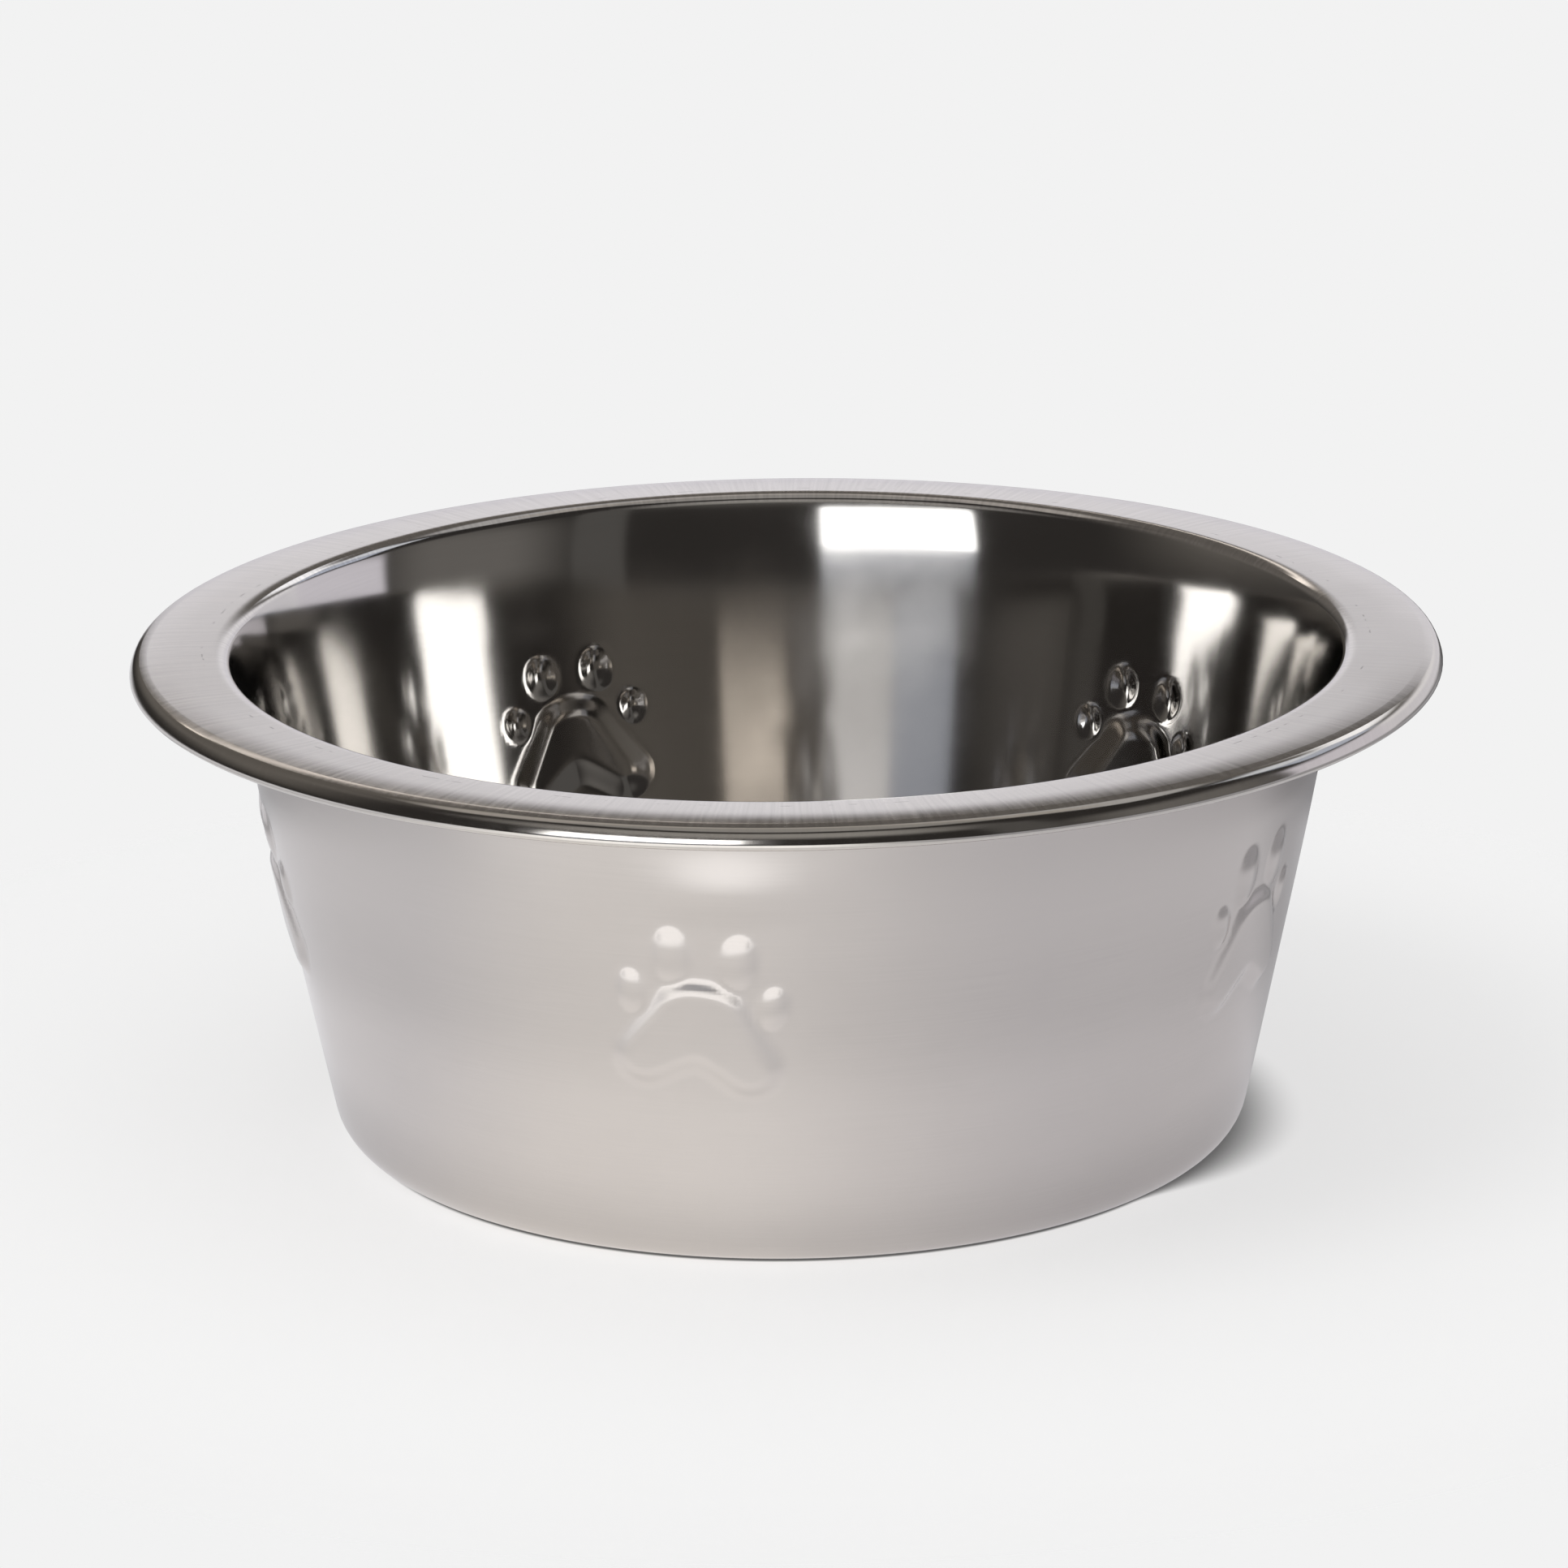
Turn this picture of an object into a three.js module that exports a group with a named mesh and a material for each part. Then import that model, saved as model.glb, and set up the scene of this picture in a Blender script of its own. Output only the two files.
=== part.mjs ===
// A steel pet bowl, pressed from one sheet: flat base, tapered wall with raised paw prints,
// sloping flange and a rolled edge. Millimetres, +Z up, the table at z = 0, a paw facing -Y.

import * as THREE from 'three';

// Bowl
const rimDiameter = 200;
const height = 77;
const throatDiameter = 171; // outer line of the wall, carried up to the full height
const baseDiameter = 139; // the same line, carried down to the table
const sheet = 0.7;
const cornerRadius = 6.5; // outside of the turn from base to wall
const bendRadius = 4; // top of the turn from wall to flange
const flangeFall = THREE.MathUtils.degToRad(3); // the flange drops towards its edge
const curlDiameter = 2.8;
const curlTurn = THREE.MathUtils.degToRad(270); // the raw edge ends out of reach, under the flange

// Raised middle of the base, which leaves a ring to stand on
const recessDiameter = 100;
const recessDepth = 1.2;
const recessRamp = 5;

// Paw prints, pressed outwards. Places are across and up from the middle of the pad.
const pawCount = 5;
const pawLift = 2.9; // middle of a paw above the middle of the wall
const pawMargin = 0.6; // smooth wall kept round a paw
const pad = { width: 24.2, height: 20, crownRadius: 7.5, heelRadius: 5.5, blend: 4, bevel: 3.6, rise: 0.85 };
const innerToe = { across: 4.9, up: 12.85, width: 6.2, height: 9.8, lean: 0.09, rise: 0.62 };
const outerToe = { across: 10.4, up: 6, width: 4.9, height: 7.8, lean: 0.2, rise: 0.55 };

// Facets
const columns = 60;
const pawColumns = 16;
const gapColumns = 2; // inside the plain stretch between two paws
const pawRows = 14;
const cornerSteps = 4;
const bendSteps = 4;
const curlSteps = 7;
const rampSteps = 3;

const fullTurn = 2 * Math.PI;
const curlRadius = curlDiameter / 2;
const wallHeading = Math.atan2(height, (throatDiameter - baseDiameter) / 2);

// The section is drawn as one walk along the underside of the sheet, from the axis to the raw edge.
// Each station has the sheet's direction there, and the upper face lies one sheet to its left.
function station(r, z, heading) {
  return { r, z, heading };
}

function pointAbove(at, distance) {
  return { r: at.r - distance * Math.sin(at.heading), z: at.z + distance * Math.cos(at.heading) };
}

function arc(center, radius, from, to, steps) {
  const side = Math.sign(to - from); // +1 turns up, with the centre above the sheet
  const stations = [];
  for (let i = 0; i <= steps; i++) {
    const heading = from + ((to - from) * i) / steps;
    const r = center.r + side * radius * Math.sin(heading);
    const z = center.z - side * radius * Math.cos(heading);
    stations.push(station(r, z, heading));
  }
  return stations;
}

function baseStations() {
  const start = (recessDiameter - recessRamp) / 2;
  const stations = [];
  for (let i = 0; i <= rampSteps; i++) {
    const share = i / rampSteps;
    const drop = THREE.MathUtils.smoothstep(share, 0, 1);
    const slope = (-6 * share * (1 - share) * recessDepth) / recessRamp;
    stations.push(station(start + share * recessRamp, recessDepth * (1 - drop), Math.atan(slope)));
  }
  return stations;
}

function cornerStations() {
  const tangent = cornerRadius * Math.tan(wallHeading / 2);
  const center = { r: baseDiameter / 2 - tangent, z: cornerRadius };
  return arc(center, cornerRadius, 0, wallHeading, cornerSteps);
}

function rimStations() {
  const bendUnder = bendRadius - sheet;
  const bendZ = height - bendRadius;
  const wallAt = baseDiameter / 2 + bendZ / Math.tan(wallHeading);
  const bend = { r: wallAt + bendUnder / Math.sin(wallHeading), z: bendZ };
  const bendArc = arc(bend, bendUnder, wallHeading, -flangeFall, bendSteps);

  // The flange runs out until the curl's outermost point is on the rim diameter.
  const flangeStart = bendArc.at(-1);
  const curlUnder = curlRadius - sheet;
  const curlR = rimDiameter / 2 - curlRadius;
  const reach = curlR + curlUnder * Math.sin(flangeFall) - flangeStart.r;
  const curlZ = flangeStart.z - reach * Math.tan(flangeFall) - curlUnder * Math.cos(flangeFall);
  const curl = { r: curlR, z: curlZ };
  return [...bendArc, ...arc(curl, curlUnder, -flangeFall, -flangeFall - curlTurn, curlSteps)];
}

// Height of a paw's relief at a place on the wall, across and up from the middle of its pad.
function padRelief(across, up) {
  const crown = Math.hypot(across, up - (pad.height / 2 - pad.crownRadius)) - pad.crownRadius;
  const heelAcross = pad.width / 2 - pad.heelRadius;
  const heelUp = pad.heelRadius - pad.height / 2;
  const heel = Math.hypot(Math.abs(across) - heelAcross, up - heelUp) - pad.heelRadius;
  const mix = THREE.MathUtils.clamp(0.5 + (heel - crown) / (2 * pad.blend), 0, 1);
  const outside = THREE.MathUtils.lerp(heel, crown, mix) - pad.blend * mix * (1 - mix);
  return pad.rise * THREE.MathUtils.smoothstep(-outside, 0, pad.bevel);
}

function toeRelief(toe, across, up) {
  const x = Math.abs(across) - toe.across;
  const y = up - toe.up;
  const along = y * Math.cos(toe.lean) + x * Math.sin(toe.lean);
  const aside = x * Math.cos(toe.lean) - y * Math.sin(toe.lean);
  const spread = (2 * aside) ** 2 / toe.width ** 2 + (2 * along) ** 2 / toe.height ** 2;
  return toe.rise * Math.max(0, 1 - spread);
}

function pawRelief(across, up) {
  return Math.max(padRelief(across, up), toeRelief(innerToe, across, up), toeRelief(outerToe, across, up));
}

const pawHalfWidth = Math.max(pad.width / 2, outerToe.across + outerToe.width / 2) + pawMargin;
const pawBottom = -pad.height / 2 - pawMargin;
const pawTop = innerToe.up + innerToe.height / 2 + pawMargin;

// Rows of stations across the band of wall that holds the paws, with their height above the pad's middle.
function pawStations(wallStart, wallEnd) {
  const length = Math.hypot(wallEnd.r - wallStart.r, wallEnd.z - wallStart.z);
  const padMiddle = length / 2 + pawLift - (pawTop + pawBottom) / 2;
  const stations = [];
  for (let i = 0; i <= pawRows; i++) {
    const up = pawBottom + ((pawTop - pawBottom) * i) / pawRows;
    const share = (padMiddle + up) / length;
    const r = THREE.MathUtils.lerp(wallStart.r, wallEnd.r, share);
    const z = THREE.MathUtils.lerp(wallStart.z, wallEnd.z, share);
    stations.push({ ...station(r, z, wallHeading), up });
  }
  return stations;
}

// Angles of the plain rings are even. The paw rings have close columns at each paw.
const plainAngles = Array.from({ length: columns }, (_, i) => (fullTurn * i) / columns);

function pawAngles(narrowestRadius) {
  const halfAngle = pawHalfWidth / narrowestRadius;
  const pitch = fullTurn / pawCount;
  const places = [];
  for (let paw = 0; paw < pawCount; paw++) {
    const middle = paw * pitch - Math.PI / 2;
    for (let i = 0; i <= pawColumns; i++) {
      const offset = halfAngle * ((2 * i) / pawColumns - 1);
      places.push({ angle: middle + offset, offset });
    }
    for (let i = 1; i <= gapColumns; i++) {
      const offset = halfAngle + ((pitch - 2 * halfAngle) * i) / (gapColumns + 1);
      places.push({ angle: middle + offset, offset });
    }
  }
  return places
    .map(({ angle, offset }) => ({ angle: THREE.MathUtils.euclideanModulo(angle, fullTurn), offset }))
    .sort((a, b) => a.angle - b.angle);
}

function plainRing({ r, z }) {
  return plainAngles.map((angle) => ({ angle, r, z }));
}

function pawRing(at, depth, places) {
  return places.map(({ angle, offset }) => {
    const relief = pawRelief(offset * at.r, at.up);
    return { angle, ...pointAbove(at, depth - relief) };
  });
}

// Both faces of the sheet as one closed run of rings, from the axis below to the axis above.
function bowlRings() {
  const corner = cornerStations();
  const rim = rimStations();
  const paws = pawStations(corner.at(-1), rim[0]);
  const places = pawAngles(paws[0].r);
  const face = (depth) => [
    ...[...baseStations(), ...corner].map((at) => plainRing(pointAbove(at, depth))),
    ...paws.map((at) => pawRing(at, depth, places)),
    ...rim.map((at) => plainRing(pointAbove(at, depth))),
  ];
  return [...face(0), ...face(sheet).reverse()];
}

// Triangles between two neighbouring rings, which may have different columns.
function joinRings(ringA, startA, ringB, startB, triangles) {
  const angleAt = (ring, i) => ring[i % ring.length].angle + fullTurn * Math.floor(i / ring.length);
  let a = 0;
  let b = 0;
  while (a < ringA.length || b < ringB.length) {
    const stepA = b === ringB.length || (a < ringA.length && angleAt(ringA, a + 1) <= angleAt(ringB, b + 1));
    const cornerA = startA + (a % ringA.length);
    const cornerB = startB + (b % ringB.length);
    if (stepA) {
      a += 1;
      triangles.push(cornerA, startA + (a % ringA.length), cornerB);
    } else {
      b += 1;
      triangles.push(cornerA, startB + (b % ringB.length), cornerB);
    }
  }
}

function bowlGeometry() {
  const rings = bowlRings();
  const positions = [];
  const triangles = [];
  const starts = [];
  for (const ring of rings) {
    starts.push(positions.length / 3);
    for (const { angle, r, z } of ring) {
      positions.push(r * Math.cos(angle), r * Math.sin(angle), z);
    }
  }
  for (let i = 0; i + 1 < rings.length; i++) {
    joinRings(rings[i], starts[i], rings[i + 1], starts[i + 1], triangles);
  }

  // The middle of the base is flat, closed by a fan on each face.
  const underMiddle = positions.length / 3;
  const upperMiddle = underMiddle + 1;
  positions.push(0, 0, recessDepth, 0, 0, recessDepth + sheet);
  const firstOfLast = starts.at(-1);
  for (let i = 0; i < columns; i++) {
    const next = (i + 1) % columns;
    triangles.push(underMiddle, next, i);
    triangles.push(upperMiddle, firstOfLast + i, firstOfLast + next);
  }

  const geometry = new THREE.BufferGeometry();
  geometry.setAttribute('position', new THREE.Float32BufferAttribute(positions, 3));
  geometry.setIndex(triangles);
  geometry.computeVertexNormals();
  return geometry;
}

const steel = new THREE.MeshStandardMaterial({ color: 0xc8c3bf, roughness: 0.28, metalness: 1 });
const bowl = new THREE.Mesh(bowlGeometry(), steel);
bowl.name = 'bowl';

const petBowl = new THREE.Group();
petBowl.add(bowl);

export default petBowl;
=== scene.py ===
import math

import bpy
import numpy as np
from mathutils import Matrix, Vector


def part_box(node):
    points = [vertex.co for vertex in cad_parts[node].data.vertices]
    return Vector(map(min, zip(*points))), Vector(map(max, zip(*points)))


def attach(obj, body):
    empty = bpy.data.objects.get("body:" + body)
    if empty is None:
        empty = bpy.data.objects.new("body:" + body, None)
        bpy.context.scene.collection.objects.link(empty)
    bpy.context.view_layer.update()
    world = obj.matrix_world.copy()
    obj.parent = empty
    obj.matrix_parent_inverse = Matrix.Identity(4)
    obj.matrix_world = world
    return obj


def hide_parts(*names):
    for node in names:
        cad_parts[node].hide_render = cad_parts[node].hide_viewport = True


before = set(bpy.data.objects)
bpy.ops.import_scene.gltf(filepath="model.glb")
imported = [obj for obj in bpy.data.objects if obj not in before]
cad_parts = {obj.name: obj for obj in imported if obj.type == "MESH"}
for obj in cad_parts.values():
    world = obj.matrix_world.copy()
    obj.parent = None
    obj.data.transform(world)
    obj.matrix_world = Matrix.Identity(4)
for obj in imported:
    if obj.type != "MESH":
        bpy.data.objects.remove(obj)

mm = 0.001
scene = bpy.context.scene
scene.view_settings.view_transform = "Standard"
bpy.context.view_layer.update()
low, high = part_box("bowl")
print("stage: frame loaded, bowl", [round(v / mm, 1) for v in high - low], "mm")


# Camera: well back, a little to the right of the front paw.
# All bearings in this file are taken round the bowl from the camera, to the right.
view = {
    "bearing": math.radians(9.9),
    "back": 1191.55 * mm,
    "height": 413.75 * mm,
    "aimAcross": -0.55 * mm,
    "aimHeight": 53.42 * mm,
    "roll": math.radians(-0.7),
    "lens": 186.335,
    "sensorWidth": 36,
    "clip": (0.05, 100),
}


def studioDirection(bearing, rise=0.0):
    turn = view["bearing"] + bearing
    return Vector((math.sin(turn) * math.cos(rise), -math.cos(turn) * math.cos(rise), math.sin(rise)))


def addCamera():
    data = bpy.data.cameras.new("studio_camera")
    data.lens = view["lens"]
    data.sensor_width = view["sensorWidth"]
    data.clip_start, data.clip_end = view["clip"]
    camera = bpy.data.objects.new("studio_camera", data)
    scene.collection.objects.link(camera)
    place = studioDirection(0) * view["back"] + Vector((0, 0, view["height"]))
    aim = studioDirection(math.pi / 2) * view["aimAcross"] + Vector((0, 0, view["aimHeight"]))
    look = (aim - place).to_track_quat("-Z", "Y").to_matrix() @ Matrix.Rotation(view["roll"], 3, "Z")
    camera.matrix_world = Matrix.Translation(place) @ look.to_4x4()
    scene.camera = camera


addCamera()
print("stage: camera")


# The bowl's section, one walk along the underside of the sheet from the axis to the raw edge of the curl
sheet = {
    "rimRadius": (high.x - low.x) / 2,
    "height": high.z,
    "throatRadius": 85.5 * mm,      # outer line of the wall, carried up to the full height
    "baseRadius": 69.5 * mm,        # the same line, carried down to the table
    "thickness": 0.7 * mm,
    "cornerRadius": 6.5 * mm,
    "flareRadius": 45 * mm,         # the wall leans out gently below the bend
    "flareTurn": math.radians(9),
    "bendRadius": 2.4 * mm,         # top of the turn from wall to flange
    "flangeFall": math.radians(0.5),
    # arcs from the flange out to the raw edge: zone, outer radius, slope reached in degrees, rows
    "edge": [("shoulder", 60 * mm, 5.5, 4), ("shoulder", 2.5 * mm, 9.5, 2), ("shoulder", 12 * mm, 15, 3),
             ("curl", 0.9 * mm, 24, 2), ("curl", 2 * mm, 62, 5), ("curl", 5 * mm, 77, 3),
             ("curl", 0.9 * mm, 282, 10)],
    "recessRadius": 50 * mm,        # raised middle of the base
    "recessDepth": 1.2 * mm,
    "recessRamp": 5 * mm,
    "sharpFrom": math.radians(50),
}

# Where the pressed sheet is out of true: a faint waist below the rim, a swelling above each paw,
# and a flange that lies flatter at the front than at the back
slack = {
    "waistDepth": 0.42 * mm,
    "waistHeight": 70 * mm,
    "waistSpread": 14 * mm,
    "swellRise": [rise * mm for rise in (0.55, 0.08, 0.06, 0.06, 0.08)],
    "swellUp": 22.5 * mm,           # above the middle of the pad
    "swellAside": 5 * mm,
    "swellAcross": 10.5 * mm,
    "swellBelow": 3 * mm,
    "swellAbove": 6.5 * mm,
    "flangeTwist": math.radians(1.8),
}

# Rows of faces along the section
rows = {"middle": 4, "ramp": 6, "ring": 3, "corner": 11, "wall": 7, "paw": 52, "neck": 9, "flare": 7,
        "bend": 12, "flange": 1}

# Five paw prints, pressed outwards. Places are across and up from the middle of the pad.
paw = {
    "count": 5,
    "first": -math.pi / 2,          # the first paw faces -Y
    "middle": 34 * mm,              # up the wall from the base corner to the middle of a pad
    "margin": 1.6 * mm,
    "padWidth": 24.2 * mm,
    "padHeight": 20 * mm,
    "crownRadius": 7.5 * mm,
    "heelRadius": 5.5 * mm,
    "padNotch": 1.2 * mm,           # rounding of the notch between the heels
    "padRise": 0.85 * mm,
    "padSteps": 41,                 # circles that make up the pad's outline
    "innerToe": {"across": 4.9 * mm, "up": 12.85 * mm, "width": 6.2 * mm, "height": 9.8 * mm, "lean": 0.09,
                 "rise": 0.68 * mm},
    "outerToe": {"across": 10.4 * mm, "up": 6 * mm, "width": 4.9 * mm, "height": 7.8 * mm, "lean": 0.2,
                 "rise": 0.6 * mm},
    # the dimples inside are smaller and rounder than the bumps outside; a toe's fillet is a share of its rise
    "bump": {"toeWidth": 1.0, "toeHeight": 1.0, "toeFillet": 0.06, "padBevel": 3.4 * mm},
    "dimple": {"toeWidth": 0.85, "toeHeight": 0.7, "toeFillet": 0.45, "padBevel": 5 * mm},
    "tilt": [math.radians(turn) for turn in (6, -1, -2, 2, -4)],    # the prints aren't pressed quite upright
    "columns": 46,
    "gapColumns": 22,
}
paw["pitch"] = 2 * math.pi / paw["count"]
paw["bottom"] = -paw["padHeight"] / 2 - paw["margin"]
paw["top"] = paw["innerToe"]["up"] + paw["innerToe"]["height"] / 2 + paw["margin"]
paw["halfWidth"] = paw["outerToe"]["across"] + paw["outerToe"]["width"] / 2 + paw["margin"]

wallHeading = math.atan2(sheet["height"], sheet["throatRadius"] - sheet["baseRadius"])


def smooth(share):
    share = np.clip(share, 0, 1)
    return share * share * (3 - 2 * share)


def arcStations(center, radius, start, end, steps):
    side = math.copysign(1, end - start)     # +1 turns up, with the centre above the sheet
    heading = np.linspace(start, end, steps + 1)
    r = center[0] + side * radius * np.sin(heading)
    z = center[1] - side * radius * np.cos(heading)
    return np.column_stack([r, z, heading])


def lineStations(start, end, shares, heading):
    shares = np.asarray(shares)[:, None]
    places = np.asarray(start) * (1 - shares) + np.asarray(end) * shares
    return np.column_stack([places, np.full(len(places), heading)])


def between(steps):
    return np.linspace(0, 1, steps + 2)[1:-1]


def baseStations(ringEnd):
    rampStart = sheet["recessRadius"] - sheet["recessRamp"] / 2
    flat = np.linspace(0, rampStart, rows["middle"] + 1)[1:]
    middle = np.column_stack([flat, np.full_like(flat, sheet["recessDepth"]), np.zeros_like(flat)])
    share = np.linspace(0, 1, rows["ramp"] + 1)[1:]
    slope = -6 * share * (1 - share) * sheet["recessDepth"] / sheet["recessRamp"]     # of the smooth step
    drop = sheet["recessDepth"] * (1 - smooth(share))
    ramp = np.column_stack([rampStart + share * sheet["recessRamp"], drop, np.arctan(slope)])
    ring = lineStations(ramp[-1, :2], ringEnd, between(rows["ring"]), 0)
    return np.vstack([middle, ramp, ring])


def wallStations(start, end):
    # close rows only where the paws are
    length = np.linalg.norm(end - start)
    pawFrom, pawTo = (paw["middle"] + paw["bottom"]) / length, (paw["middle"] + paw["top"]) / length
    shares = np.concatenate([np.linspace(0, pawFrom, rows["wall"] + 1)[1:-1],
                             np.linspace(pawFrom, pawTo, rows["paw"] + 1),
                             np.linspace(pawTo, 1, rows["neck"] + 1)[1:-1]])
    return lineStations(start, end, shares, wallHeading)


def edgeStations(flangeStart):
    # placed from the outermost point of the roll, which is on the rim, back to the flange
    radii = [radius - sheet["thickness"] for name, radius, reached, steps in sheet["edge"]]
    falls = [sheet["flangeFall"]] + [math.radians(reached) for name, radius, reached, steps in sheet["edge"]]
    normals = [np.array([math.sin(fall), math.cos(fall)]) for fall in falls]
    centers = [np.array([sheet["rimRadius"] - sheet["edge"][-1][1], 0])]
    for i in range(len(radii) - 2, -1, -1):
        centers.insert(0, centers[0] + (radii[i + 1] - radii[i]) * normals[i + 1])
    first = centers[0] + radii[0] * normals[0]
    lift = flangeStart[1] - (first[0] - flangeStart[0]) * math.tan(falls[0]) - first[1]
    stations = {}
    for i, (name, radius, reached, steps) in enumerate(sheet["edge"]):
        center = centers[i] + np.array([0, lift])
        arc = arcStations(center, radii[i], -falls[i], -falls[i + 1], steps)[0 if i == 0 else 1:]
        stations[name] = np.vstack([stations[name], arc]) if name in stations else arc
    return stations


def sheetSection():
    tangent = sheet["cornerRadius"] * math.tan(wallHeading / 2)
    cornerCenter = (sheet["baseRadius"] - tangent, sheet["cornerRadius"])
    corner = arcStations(cornerCenter, sheet["cornerRadius"], 0, wallHeading, rows["corner"])

    fall = sheet["flangeFall"]
    bendUnder = sheet["bendRadius"] - sheet["thickness"]
    bendZ = sheet["height"] - sheet["bendRadius"]
    flareHeading = wallHeading - sheet["flareTurn"]
    flareZ = bendZ + bendUnder * math.cos(flareHeading) + sheet["flareRadius"] * (
        math.cos(wallHeading) - math.cos(flareHeading))
    flareR = sheet["baseRadius"] + flareZ / math.tan(wallHeading)
    flareCenter = (flareR + sheet["flareRadius"] * math.sin(wallHeading),
                   flareZ - sheet["flareRadius"] * math.cos(wallHeading))
    flare = arcStations(flareCenter, sheet["flareRadius"], wallHeading, flareHeading, rows["flare"])
    bendCenter = (flare[-1, 0] + bendUnder * math.sin(flareHeading), bendZ)
    bend = arcStations(bendCenter, bendUnder, flareHeading, -fall, rows["bend"])[1:]

    edges = edgeStations(bend[-1])
    parts = {
        "base": baseStations(corner[0, :2]),
        "corner": corner,
        "wall": wallStations(corner[-1, :2], flare[0, :2]),
        "flare": flare,
        "bend": bend,
        "flange": lineStations(bend[-1, :2], edges["shoulder"][0, :2], between(rows["flange"]), -fall),
        **edges,
    }
    stations = np.vstack(list(parts.values()))
    zone = np.concatenate([[name] * len(part) for name, part in parts.items()])

    # how far each row is up the sheet from the middle of the pads, and how far the flange's twist has set in
    upWall = np.cumsum(np.hypot(*np.diff(stations[:, :2], axis=0, prepend=stations[:1, :2]).T))
    upPad = upWall - upWall[zone == "corner"][-1] - paw["middle"]
    twisted = np.isin(zone, ["flange", "shoulder", "curl"]).astype(float)
    twisted[zone == "bend"] = np.linspace(0, 1, len(bend))
    return {"stations": stations, "zone": zone, "upPad": upPad, "twisted": twisted, "bendCenter": bendCenter}


def padRelief(across, up, form):
    # rounded hull from the crown to each heel
    side = np.sqrt(across ** 2 + paw["padNotch"] ** 2) - paw["padNotch"]
    crownUp = paw["padHeight"] / 2 - paw["crownRadius"]
    heelAcross = paw["padWidth"] / 2 - paw["heelRadius"]
    heelUp = paw["heelRadius"] - paw["padHeight"] / 2
    outside = np.full_like(across, np.inf)
    for share in np.linspace(0, 1, paw["padSteps"]):
        radius = paw["crownRadius"] * (1 - share) + paw["heelRadius"] * share
        away = np.hypot(side - share * heelAcross, up - crownUp * (1 - share) - heelUp * share)
        outside = np.minimum(outside, away - radius)
    return paw["padRise"] * smooth(-outside / form["padBevel"])


def toeRelief(toe, across, up, form):
    x, y = np.abs(across) - toe["across"], up - toe["up"]
    along = y * math.cos(toe["lean"]) + x * math.sin(toe["lean"])
    aside = x * math.cos(toe["lean"]) - y * math.sin(toe["lean"])
    width, height = toe["width"] * form["toeWidth"], toe["height"] * form["toeHeight"]
    dome = 1 - (2 * aside / width) ** 2 - (2 * along / height) ** 2
    fillet = form["toeFillet"]
    rounded = np.clip(dome + fillet, 0, None) ** 2 / (4 * fillet)
    return toe["rise"] * np.where(dome > fillet, dome, rounded)


def swelling(across, up, rise):
    above = up - slack["swellUp"]
    spread = np.where(above > 0, slack["swellAbove"], slack["swellBelow"])
    aside = (across - slack["swellAside"]) / slack["swellAcross"]
    return rise * np.exp(-aside ** 2 - (above / spread) ** 2)


def columnAngles():
    # close columns only where the paws are
    halfAngle = paw["halfWidth"] / sheet["baseRadius"]
    close = np.linspace(-halfAngle, halfAngle, paw["columns"] + 1)
    wide = np.linspace(halfAngle, paw["pitch"] - halfAngle, paw["gapColumns"] + 2)[1:-1]
    one = np.concatenate([close, wide])
    return np.concatenate([one + i * paw["pitch"] + paw["first"] for i in range(paw["count"])])


def pressing(section, angles, form):
    # how far the sheet is pushed out along its normal, at each station and angle
    stations = section["stations"]
    onWall = np.isin(section["zone"], ["wall", "flare"])
    nearest = np.round((angles - paw["first"]) / paw["pitch"]).astype(int)
    offset = angles - paw["first"] - nearest * paw["pitch"]
    tilt = np.array(paw["tilt"])[nearest % paw["count"]]
    swellRise = np.array(slack["swellRise"])[nearest % paw["count"]]
    across = offset[None, :] * stations[onWall, 0][:, None]
    up = np.broadcast_to(section["upPad"][onWall][:, None], across.shape)
    turnedAcross = across * np.cos(tilt) - up * np.sin(tilt)
    turnedUp = up * np.cos(tilt) + across * np.sin(tilt)
    toes = [toeRelief(paw[name], turnedAcross, turnedUp, form) for name in ("innerToe", "outerToe")]
    relief = np.maximum.reduce([padRelief(turnedAcross, turnedUp, form), *toes])

    waist = np.exp(-((stations[:, 1] - slack["waistHeight"]) / slack["waistSpread"]) ** 2)
    waist *= 1 - smooth(section["twisted"])
    pushed = np.repeat(-slack["waistDepth"] * waist[:, None], len(angles), axis=1)
    pushed[onWall] += relief + swelling(across, up, swellRise)
    return pushed


def facePoints(section, angles, depth, form):
    # radius and height of one face of the sheet: depth 0 is the underside, the thickness is the upper face
    stations = section["stations"]
    normal = depth - pressing(section, angles, form)
    r = stations[:, 0:1] - normal * np.sin(stations[:, 2:3])
    z = stations[:, 1:2] + normal * np.cos(stations[:, 2:3])
    toFront = np.cos(angles - paw["first"] - view["bearing"])
    twist = section["twisted"][:, None] * slack["flangeTwist"] * toFront[None, :]
    centerR, centerZ = section["bendCenter"]
    fromR, fromZ = r - centerR, z - centerZ
    return (centerR + fromR * np.cos(twist) - fromZ * np.sin(twist),
            centerZ + fromR * np.sin(twist) + fromZ * np.cos(twist))


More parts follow.
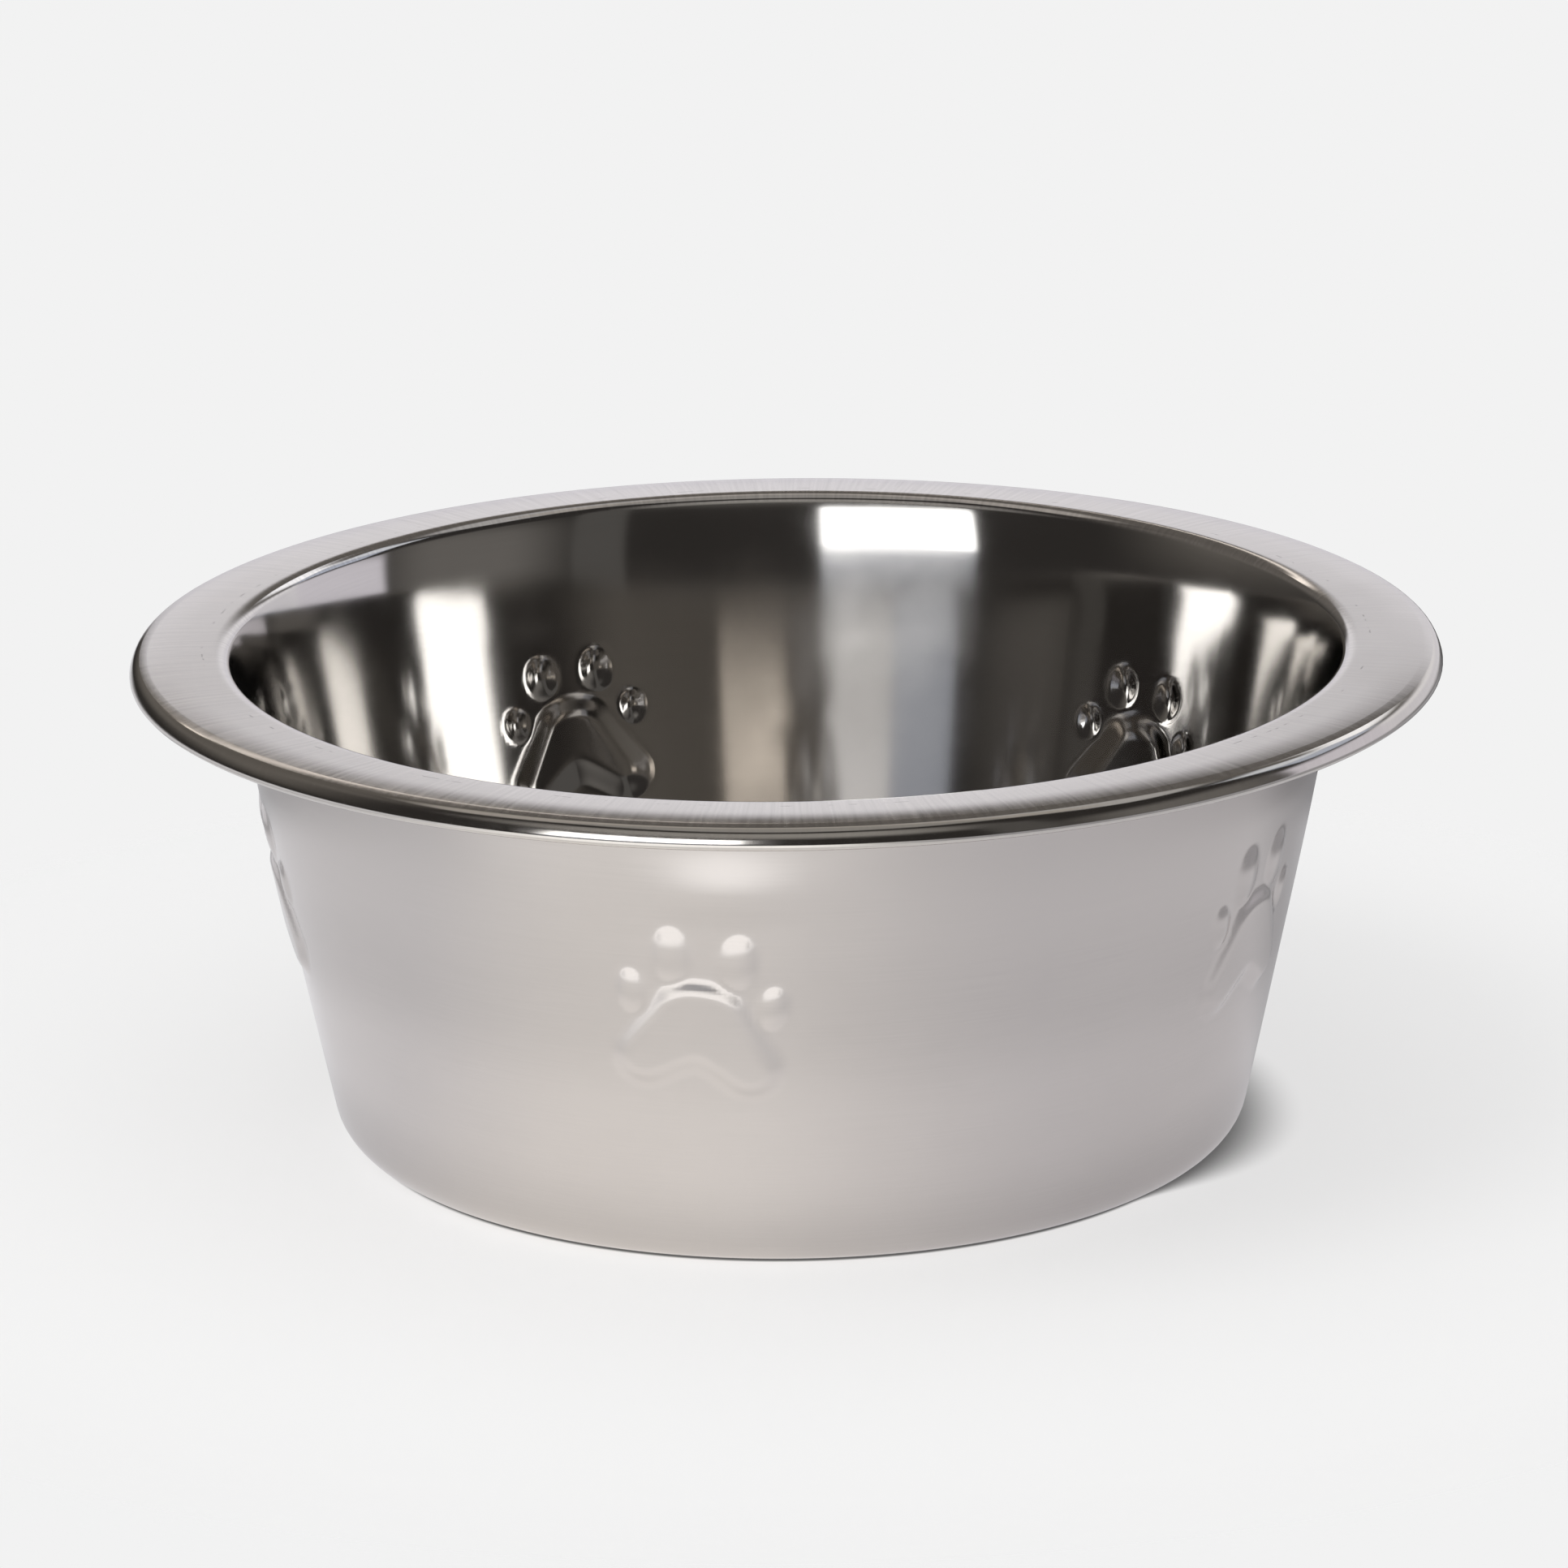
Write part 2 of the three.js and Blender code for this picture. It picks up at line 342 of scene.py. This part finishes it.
def sheetMap(r, z, angles):
    # strip map of the whole sheet: round the bowl, and from the middle below to the middle inside
    middleR, middleZ = r.mean(axis=1), z.mean(axis=1)
    along = middleR[0] + np.concatenate([[0], np.cumsum(np.hypot(np.diff(middleR), np.diff(middleZ)))])
    v = along / (along[-1] + middleR[-1])
    u = np.append((angles - angles[0]) / (2 * math.pi), 1)
    left, right = u[:-1], u[1:]
    quads = np.empty((len(v) - 1, len(angles), 4, 2))
    quads[..., 0] = np.column_stack([left, right, right, left])
    quads[..., 1] = np.column_stack([v[:-1], v[:-1], v[1:], v[1:]])[:, None, :]
    fans = np.empty((2, len(angles), 3, 2))
    fans[0, :, :, 0] = np.column_stack([(left + right) / 2, right, left])
    fans[0, :, :, 1] = (0, v[0], v[0])
    fans[1, :, :, 0] = np.column_stack([(left + right) / 2, left, right])
    fans[1, :, :, 1] = (1, v[-1], v[-1])
    return np.concatenate([quads.ravel(), fans.ravel()])


finishOrder = ["outside", "inside", "flange", "curl", "under"]


def sheetFinishes(zone, count):
    # which finish each face has: the underside of the sheet first, then the upper face back to the middle
    below = {"base": "under"}
    above = {"bend": "flange", "flange": "flange", "shoulder": "flange", "curl": "curl"}
    names = [below.get(name, "outside") for name in zone]
    names += [above.get(name, "inside") for name in zone[-2::-1]]
    names += ["under", "inside"]
    return np.repeat([finishOrder.index(name) for name in names], count)


def addBowl(section):
    angles = columnAngles()
    count = len(angles)
    under = facePoints(section, angles, 0, paw["bump"])
    upper = facePoints(section, angles, sheet["thickness"], paw["dimple"])
    r, z = (np.vstack([below, above[::-1]]) for below, above in zip(under, upper))
    places = np.stack([r * np.cos(angles), r * np.sin(angles), z], axis=2).reshape(-1, 3)
    bottom, top = len(places), len(places) + 1
    middles = [[0, 0, sheet["recessDepth"]], [0, 0, sheet["recessDepth"] + sheet["thickness"]]]

    column = np.arange(count)
    following = (column + 1) % count
    start = np.arange(len(r) - 1)[:, None] * count
    end = start + count
    quads = np.stack([start + column, start + following, end + following, end + column], axis=2)
    last = (len(r) - 1) * count
    fans = np.vstack([np.column_stack([np.full(count, bottom), following, column]),
                      np.column_stack([np.full(count, top), last + column, last + following])])

    mesh = bpy.data.meshes.new("bowl_sheet")
    mesh.from_pydata(np.vstack([places, middles]).tolist(), [], quads.reshape(-1, 4).tolist() + fans.tolist())
    mesh.uv_layers.new(name="OFBake").data.foreach_set("uv", sheetMap(r, z, angles))
    mesh.polygons.foreach_set("material_index", sheetFinishes(section["zone"], count))
    mesh.shade_smooth()
    mesh.set_sharp_from_angle(angle=sheet["sharpFrom"])
    bowl = bpy.data.objects.new("bowl_sheet", mesh)
    scene.collection.objects.link(bowl)
    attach(bowl, "root")
    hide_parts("bowl")
    return bowl


section = sheetSection()
bowl = addBowl(section)
print("stage: bowl pressed,", len(bowl.data.polygons), "faces")


# Finishes of the steel. Brushing and spinning marks are noise drawn out round the bowl or across the flange.
def addNode(tree, kind, inputs=None, **settings):
    node = tree.nodes.new(kind)
    for name, value in settings.items():
        setattr(node, name, value)
    for key, value in (inputs or {}).items():
        if isinstance(value, bpy.types.NodeSocket):
            tree.links.new(value, node.inputs[key])
        else:
            node.inputs[key].default_value = value
    return node


def vectorMath(tree, operation, inputs):
    return addNode(tree, "ShaderNodeVectorMath", inputs, operation=operation).outputs


def calc(tree, operation, a, b=0.0):
    return addNode(tree, "ShaderNodeMath", {0: a, 1: b}, operation=operation).outputs[0]


def ramp(tree, value, fromLow, fromHigh, toLow=0.0, toHigh=1.0):
    inputs = {"Value": value, "From Min": fromLow, "From Max": fromHigh, "To Min": toLow, "To Max": toHigh}
    return addNode(tree, "ShaderNodeMapRange", inputs, interpolation_type="SMOOTHSTEP").outputs[0]


def blend(tree, share, first, second):
    inputs = {0: share, 6: first, 7: second}
    return addNode(tree, "ShaderNodeMix", inputs, data_type="RGBA").outputs[2]


def mixed(tree, first, second, share):
    return calc(tree, "ADD", calc(tree, "MULTIPLY", first, 1 - share), calc(tree, "MULTIPLY", second, share))


def rgba(color, factor=1.0):
    return (*(channel * factor for channel in color), 1)


def bowlPlaces(tree):
    place = addNode(tree, "ShaderNodeTexCoord").outputs["Object"]
    level = vectorMath(tree, "MULTIPLY", {0: place, 1: (1, 1, 0)})[0]
    return {
        "place": place,
        "around": vectorMath(tree, "NORMALIZE", {0: level})[0],
        "radius": vectorMath(tree, "LENGTH", {0: level})["Value"],
        "height": addNode(tree, "ShaderNodeSeparateXYZ", {0: place}).outputs["Z"],
    }


def marks(tree, places, perTurn, along, perMetre, detail=2.0):
    turned = vectorMath(tree, "SCALE", {0: places["around"], "Scale": perTurn})[0]
    lift = calc(tree, "MULTIPLY", places[along], perMetre)
    lifted = addNode(tree, "ShaderNodeCombineXYZ", {"Z": lift}).outputs[0]
    at = vectorMath(tree, "ADD", {0: turned, 1: lifted})[0]
    return addNode(tree, "ShaderNodeTexNoise", {"Vector": at, "Scale": 1.0, "Detail": detail}).outputs[0]


def clouds(tree, places, perMetre, detail=3.0):
    inputs = {"Vector": places["place"], "Scale": perMetre, "Detail": detail}
    return addNode(tree, "ShaderNodeTexNoise", inputs).outputs[0]


def startFinish(name, look):
    material = bpy.data.materials.new(name)
    material.use_nodes = True
    tree = material.node_tree
    shader = tree.nodes["Principled BSDF"]
    shader.inputs["Metallic"].default_value = 1
    shader.inputs["Anisotropic"].default_value = look.get("drawn", 0)
    shader.inputs["Anisotropic Rotation"].default_value = look.get("drawnTurn", 0)
    tangent = addNode(tree, "ShaderNodeTangent", direction_type="RADIAL", axis="Z").outputs[0]
    tree.links.new(tangent, shader.inputs["Tangent"])
    return material, tree, shader


noiseSpan = (0.25, 0.75)     # most of a noise's values lie in here


def applyFinish(tree, shader, look, tone, grain, bumpHeight, polish=None):
    # tone and grain run from 0 to 1: darker to lighter steel, smoother to rougher
    dark, light = rgba(look["color"], 1 - look["colorSpread"]), rgba(look["color"], 1 + look["colorSpread"])
    tree.links.new(blend(tree, tone, dark, light), shader.inputs["Base Color"])
    rough = ramp(tree, grain, *noiseSpan, look["roughness"] - look["roughSpread"],
                 look["roughness"] + look["roughSpread"])
    if polish:
        rough = addNode(tree, "ShaderNodeMix", {0: polish, 2: rough, 3: look["polished"]}).outputs[0]
    tree.links.new(rough, shader.inputs["Roughness"])
    bump = addNode(tree, "ShaderNodeBump", {"Height": bumpHeight, "Strength": 1.0, "Distance": look["bump"]})
    tree.links.new(bump.outputs[0], shader.inputs["Normal"])


# In each finish, toneClouds is the clouds' share in the tone, and grainLines the lines' share in the grain
outsideSatin = {"color": (0.63, 0.6, 0.581), "colorSpread": 0.07, "roughness": 0.13, "roughSpread": 0.03,
                "bump": 0.0002 * mm, "drawn": 0.5, "drawnTurn": 0.25, "lines": 5000, "lineTurn": 5,
                "cloudSize": 45, "toneClouds": 0.5, "grainLines": 0.4}


def outsideFinish(look):
    material, tree, shader = startFinish("steel_satin_outside", look)
    places = bowlPlaces(tree)
    lines = marks(tree, places, look["lineTurn"], "height", look["lines"])
    mottle = clouds(tree, places, look["cloudSize"])
    tone = mixed(tree, lines, mottle, look["toneClouds"])
    applyFinish(tree, shader, look, tone, mixed(tree, mottle, lines, look["grainLines"]), lines)
    return material


insideMirror = {"color": (0.64, 0.625, 0.605), "colorSpread": 0.08, "roughness": 0.1, "roughSpread": 0.02,
                "bump": 0.00008 * mm, "drawn": 0.6, "drawnTurn": 0.25, "lines": 4000, "lineTurn": 6,
                "cloudSize": 60, "toneClouds": 0.5, "wallFrom": 4 * mm, "floorTo": 2.5 * mm}


def insideFinish(look):
    material, tree, shader = startFinish("steel_mirror_inside", look)
    places = bowlPlaces(tree)
    lines = marks(tree, places, look["lineTurn"], "height", look["lines"])
    rings = marks(tree, places, look["lineTurn"], "radius", look["lines"])
    onFloor = ramp(tree, places["height"], look["wallFrom"], look["floorTo"])
    grain = addNode(tree, "ShaderNodeMix", {0: onFloor, 2: lines, 3: rings}).outputs[0]
    mottle = clouds(tree, places, look["cloudSize"])
    applyFinish(tree, shader, look, mixed(tree, grain, mottle, look["toneClouds"]), mottle, grain)
    return material


flangeSatin = {"color": (0.655, 0.635, 0.625), "colorSpread": 0.26, "roughness": 0.16, "roughSpread": 0.03,
               "bump": 0.0004 * mm, "drawn": 0.5, "streakTurn": 140, "streaks": 45, "cloudSize": 60,
               "toneClouds": 0.25, "grainLines": 0.5,
               "scratchAt": section["bendCenter"][0] + 1.6 * mm, "scratchWidth": 0.22 * mm,
               "scratchWander": 1.6 * mm, "wanderTurn": 34 / 6, "scratchColor": (0.38, 0.37, 0.36),
               "gapTurn": 34, "gaps": 300, "gapDetail": 4, "gapSpan": (0.56, 0.64),
               "polished": 0.09, "polishFrom": section["bendCenter"][0] - 0.3 * mm,
               "polishTo": section["bendCenter"][0] - 1.9 * mm}


def flangeFinish(look):
    material, tree, shader = startFinish("steel_brushed_flange", look)
    places = bowlPlaces(tree)
    streaks = marks(tree, places, look["streakTurn"], "radius", look["streaks"])
    mottle = clouds(tree, places, look["cloudSize"])

    # a broken ring of scratches near the inner edge
    wander = marks(tree, places, look["wanderTurn"], "radius", 0)
    innermost = look["scratchAt"] - look["scratchWander"] / 2
    ring = calc(tree, "ADD", innermost, calc(tree, "MULTIPLY", wander, look["scratchWander"]))
    off = calc(tree, "ABSOLUTE", calc(tree, "SUBTRACT", places["radius"], ring))
    gaps = marks(tree, places, look["gapTurn"], "radius", look["gaps"], look["gapDetail"])
    broken = ramp(tree, gaps, *look["gapSpan"])
    scratch = calc(tree, "MULTIPLY", ramp(tree, off, look["scratchWidth"], 0), broken)

    # the bend is buffed down into the mirror inside
    polish = ramp(tree, places["radius"], look["polishFrom"], look["polishTo"])
    tone = mixed(tree, streaks, mottle, look["toneClouds"])
    grain = mixed(tree, mottle, streaks, look["grainLines"])
    applyFinish(tree, shader, look, tone, grain, streaks, polish)
    base = shader.inputs["Base Color"].links[0].from_socket
    tree.links.new(blend(tree, scratch, base, rgba(look["scratchColor"])), shader.inputs["Base Color"])
    return material


curlPolish = {"color": (0.64, 0.615, 0.585), "colorSpread": 0.05, "roughness": 0.12, "roughSpread": 0.03,
              "bump": 0.0003 * mm, "nickTurn": 120, "nicks": 300, "nickDetail": 3, "cloudSize": 200}


def curlFinish(look):
    material, tree, shader = startFinish("steel_polished_curl", look)
    places = bowlPlaces(tree)
    nicks = marks(tree, places, look["nickTurn"], "height", look["nicks"], look["nickDetail"])
    mottle = clouds(tree, places, look["cloudSize"])
    applyFinish(tree, shader, look, nicks, mottle, nicks)
    return material


underSpun = {"color": (0.63, 0.605, 0.585), "colorSpread": 0.08, "roughness": 0.3, "roughSpread": 0.06,
             "bump": 0.0008 * mm, "drawn": 0.4, "drawnTurn": 0.25, "rings": 1800, "ringTurn": 3,
             "ringDetail": 3, "cloudSize": 50, "toneClouds": 0.4, "grainLines": 0.5}


def underFinish(look):
    material, tree, shader = startFinish("steel_spun_under", look)
    places = bowlPlaces(tree)
    rings = marks(tree, places, look["ringTurn"], "radius", look["rings"], look["ringDetail"])
    mottle = clouds(tree, places, look["cloudSize"])
    tone = mixed(tree, rings, mottle, look["toneClouds"])
    applyFinish(tree, shader, look, tone, mixed(tree, mottle, rings, look["grainLines"]), rings)
    return material


finishes = {
    "outside": outsideFinish(outsideSatin),
    "inside": insideFinish(insideMirror),
    "flange": flangeFinish(flangeSatin),
    "curl": curlFinish(curlPolish),
    "under": underFinish(underSpun),
}
for name in finishOrder:
    bowl.data.materials.append(finishes[name])
print("stage: finishes", ", ".join(finishOrder))


# Studio: a dim room with soft panels, which the metal mirrors. A later panel covers those before it.
room = {"color": (0.034, 0.031, 0.029), "backdrop": (0.888, 0.888, 0.888), "fill": 0.042}
panels = {
    # in degrees: bearing of the middle, width, lowest and highest rise, softness of the sides and of the ends
    "backLeft": (-140, 100, 8, 52, 40, 24, (0.16, 0.147, 0.133)),
    "back": (180, 110, 20, 54, 40, 10, (0.14, 0.128, 0.115)),
    "frontHigh": (-12, 90, 33, 58, 40, 12, (0.34, 0.325, 0.305)),
    "right": (72, 40, -6, 25, 24, 14, (0.17, 0.16, 0.15)),
    "rightSweep": (112, 34, -30, 17, 3, 8, (0.78, 0.75, 0.81)),
    "backSweep": (158, 66, -6, 19.2, 6, 8, (0.92, 0.9, 0.92)),
    "backSweepFoot": (158, 66, -6, 9, 6, 8, (0.78, 0.76, 0.8)),
    "backRightBox": (145, 26, 26, 38, 3, 6, (1.35, 1.35, 1.38)),
    "rightStripHigh": (118, 28, 34, 46, 3, 4, (0.8, 0.83, 0.88)),
    "rightStripLow": (118, 28, 22, 34, 3, 3, (0.56, 0.6, 0.7)),
    "backStrip": (195, 28, 26.2, 29.5, 3, 2, (1.8, 1.64, 1.47)),
    "backHigh": (180, 180, 56, 74, 20, 8, (0.46, 0.43, 0.395)),
    "ceiling": (0, 400, 72, 95, 20, 8, (0.34, 0.325, 0.305)),
    "rightHigh": (128, 84, 52, 62, 10, 4, (0.5, 0.49, 0.48)),
    "rightPost": (41, 12, -2, 40, 1.5, 4, (0.1, 0.095, 0.09)),
    "belowLeft": (-115, 130, -75, -9, 20, 8, (0.74, 0.735, 0.76)),
    "belowRight": (88, 146, -75, -9, 20, 8, (0.4, 0.395, 0.41)),
    "belowFront": (-20, 70, -75, -5, 30, 6, (1.4, 1.38, 1.36)),
    "softboxStand": (-25, 34, -4, 6, 2, 2, (0.2, 0.21, 0.24)),
    "softboxFoot": (-25, 34, 6, 10, 2, 2, (0.36, 0.38, 0.44)),
    "softbox": (-25, 34, 8, 27, 1.5, 1.5, (3.2, 3.2, 3.2)),
}


def bearingFrom(tree, direction, middle):
    # degrees round from a bearing, -180 to 180
    inputs = {"Vector": direction, "Angle": -view["bearing"] - math.radians(middle)}
    turned = addNode(tree, "ShaderNodeVectorRotate", inputs, rotation_type="Z_AXIS").outputs[0]
    parts = addNode(tree, "ShaderNodeSeparateXYZ", {0: turned}).outputs
    bearing = calc(tree, "ARCTAN2", parts["X"], calc(tree, "MULTIPLY", parts["Y"], -1.0))
    return calc(tree, "DEGREES", bearing)


def panelShare(tree, direction, rise, middle, width, lowest, highest, sideFade, endFade):
    aside = calc(tree, "ABSOLUTE", bearingFrom(tree, direction, middle))
    half, edge, fade = width / 2, sideFade / 2, endFade / 2
    across = ramp(tree, aside, half + edge, half - edge)
    above = ramp(tree, rise, lowest - fade, lowest + fade)
    below = ramp(tree, rise, highest + fade, highest - fade)
    return calc(tree, "MULTIPLY", across, calc(tree, "MULTIPLY", above, below))


def addStudio():
    world = bpy.data.worlds.new("studio")
    scene.world = world
    world.use_nodes = True
    world.cycles.sampling_method = "NONE"
    tree = world.node_tree
    background = tree.nodes["Background"]
    direction = addNode(tree, "ShaderNodeTexCoord").outputs["Generated"]
    upward = addNode(tree, "ShaderNodeSeparateXYZ", {0: direction}).outputs["Z"]
    rise = calc(tree, "DEGREES", calc(tree, "ARCSINE", upward))
    color = rgba(room["color"])
    for *extent, panelColor in panels.values():
        color = blend(tree, panelShare(tree, direction, rise, *extent), color, rgba(panelColor))
    path = addNode(tree, "ShaderNodeLightPath").outputs
    color = blend(tree, path["Is Diffuse Ray"], color, rgba((room["fill"],) * 3))
    color = blend(tree, path["Is Camera Ray"], color, rgba(room["backdrop"]))
    tree.links.new(color, background.inputs["Color"])


# Lamps, in degrees. They light the table; the metal mirrors the panels.
suns = {
    "key": {"bearing": -50, "rise": 60, "spread": 26, "strength": 0.22, "shadow": True},
    "fill": {"bearing": -20, "rise": 80, "spread": 90, "strength": 2.974, "shadow": False},
}


def addSun(name, sun):
    lamp = bpy.data.lights.new(name, "SUN")
    lamp.energy = sun["strength"]
    lamp.angle = math.radians(sun["spread"])
    lamp.use_shadow = sun["shadow"]
    toLamp = studioDirection(math.radians(sun["bearing"]), math.radians(sun["rise"]))
    lit = bpy.data.objects.new(name, lamp)
    lit.matrix_world = toLamp.to_track_quat("Z", "Y").to_matrix().to_4x4()
    lit.visible_camera = False
    lit.visible_glossy = False
    scene.collection.objects.link(lit)


# A round pale table. Where the metal mirrors it, its colour holds painted light and shade, brightest in front
# on the left as if a soft light fell there.
# A side's blend runs from -1, straight away from its bearing, to 1, straight along it.
table = {
    "radius": 200 * mm,
    "sides": 128,
    "color": (0.85, 0.85, 0.85),
    "fadeFrom": 160 * mm,           # its far edge fades into the backdrop
    "fadeTo": 196 * mm,

    # as the metal mirrors it: painted light and shade in its colour, and a painted glowing edge in front on
    # the left
    "leftColor": (0.74, 0.735, 0.755),
    "rightColor": (0.66, 0.65, 0.67),
    "rightBlend": (0.17, -0.17),
    "frontColor": (0.87, 0.85, 0.83),
    "frontRight": (45, -20),        # bearings between which the front's colour sets in, from either side
    "frontLeft": (-75, -30),
    "rings": [(72, 90, 0.92, 1.1), (100, 122, 1.0, 0.87), (130, 150, 1.0, 1.04), (165, 190, 1.0, 0.6)],
    "backBearing": math.radians(140),
    "backBlend": (0.72, 0.97),
    "backChange": 0.68,
    # a painted glowing edge, seen only in the metal
    "paintedGlow": 0.9,
    "glowBearing": -20,
    "glowAside": (45, 22),
    "glowFrom": 166 * mm,
    "glowTo": 195 * mm,

    # painted shadow of the bowl close to its base, darkening the table's colour
    "shadeBearing": math.radians(95),
    "shadeBlend": (0.7, 1.0),
    "shadeFrom": 66 * mm,
    "shadeNarrow": 67 * mm,
    "shadeWide": 80 * mm,
    "shadeDepth": 0.14,
}


def toward(tree, places, bearing):
    return vectorMath(tree, "DOT_PRODUCT", {0: places["around"], 1: studioDirection(bearing)})["Value"]


# painted light and shade: the table's colour as the metal mirrors it
def paintedLightMirroredTable(tree, places):
    rightOrLeft = ramp(tree, toward(tree, places, math.pi / 2), *table["rightBlend"])
    side = blend(tree, rightOrLeft, rgba(table["rightColor"]), rgba(table["leftColor"]))
    bearing = bearingFrom(tree, places["around"], 0)
    front = calc(tree, "MULTIPLY", ramp(tree, bearing, *table["frontRight"]),
                 ramp(tree, bearing, *table["frontLeft"]))
    color = blend(tree, front, side, rgba(table["frontColor"]))

    # painted light and shade: lighter and darker rings, from and to in mm, and a painted shadow that darkens
    # the back on the right
    changes = [ramp(tree, places["radius"], start * mm, end * mm, before, after)
               for start, end, before, after in table["rings"]]
    toBack = toward(tree, places, table["backBearing"])
    changes.append(ramp(tree, toBack, *table["backBlend"], 1.0, table["backChange"]))
    change = changes[0]
    for following in changes[1:]:
        change = calc(tree, "MULTIPLY", change, following)
    inputs = {0: 1.0, 6: color, 7: change}
    return addNode(tree, "ShaderNodeMix", inputs, data_type="RGBA", blend_type="MULTIPLY").outputs[2]


def paintedShadowTable(tree, places):
    # painted shadow in the table's colour, darkest where the base shades it, at the right
    reach = ramp(tree, toward(tree, places, table["shadeBearing"]), *table["shadeBlend"],
                 table["shadeNarrow"], table["shadeWide"])
    shade = ramp(tree, places["radius"], reach, table["shadeFrom"])
    return blend(tree, shade, rgba(table["color"]), rgba(table["color"], table["shadeDepth"]))


def floorFinish():
    material = bpy.data.materials.new("floor_pale")
    material.use_nodes = True
    tree = material.node_tree
    shader = tree.nodes["Principled BSDF"]
    shader.inputs["Roughness"].default_value = 1
    shader.inputs["Specular IOR Level"].default_value = 0
    places = bowlPlaces(tree)
    path = addNode(tree, "ShaderNodeLightPath").outputs
    inMetal = path["Is Glossy Ray"]
    # the camera sees the table with painted shadow; the metal sees it with painted light and shade
    color = blend(tree, inMetal, paintedShadowTable(tree, places), paintedLightMirroredTable(tree, places))
    tree.links.new(color, shader.inputs["Base Color"])

    # painted glowing edge: in front on the left the table glows in the metal, though no lamp is there
    aside = calc(tree, "ABSOLUTE", bearingFrom(tree, places["around"], table["glowBearing"]))
    outer = ramp(tree, places["radius"], table["glowFrom"], table["glowTo"])
    lit = calc(tree, "MULTIPLY", ramp(tree, aside, *table["glowAside"]), outer)
    paintedGlow = calc(tree, "MULTIPLY", calc(tree, "MULTIPLY", lit, inMetal), table["paintedGlow"])
    shader.inputs["Emission Color"].default_value = rgba((1, 1, 1))
    tree.links.new(paintedGlow, shader.inputs["Emission Strength"])

    farEdge = ramp(tree, places["radius"], table["fadeFrom"], table["fadeTo"])
    fading = calc(tree, "MULTIPLY", path["Is Camera Ray"], farEdge)
    tree.links.new(calc(tree, "SUBTRACT", 1.0, fading), shader.inputs["Alpha"])
    return material


def addFloor():
    turns = [2 * math.pi * i / table["sides"] for i in range(table["sides"])]
    edge = [(table["radius"] * math.cos(turn), table["radius"] * math.sin(turn), 0) for turn in turns]
    mesh = bpy.data.meshes.new("floor")
    mesh.from_pydata(edge, [], [range(table["sides"])])
    mesh.materials.append(floorFinish())
    floor = bpy.data.objects.new("floor", mesh)
    scene.collection.objects.link(floor)


addStudio()
for name, sun in suns.items():
    addSun(name, sun)
addFloor()
print("stage: studio with", len(panels), "panels and", len(suns), "lamps")
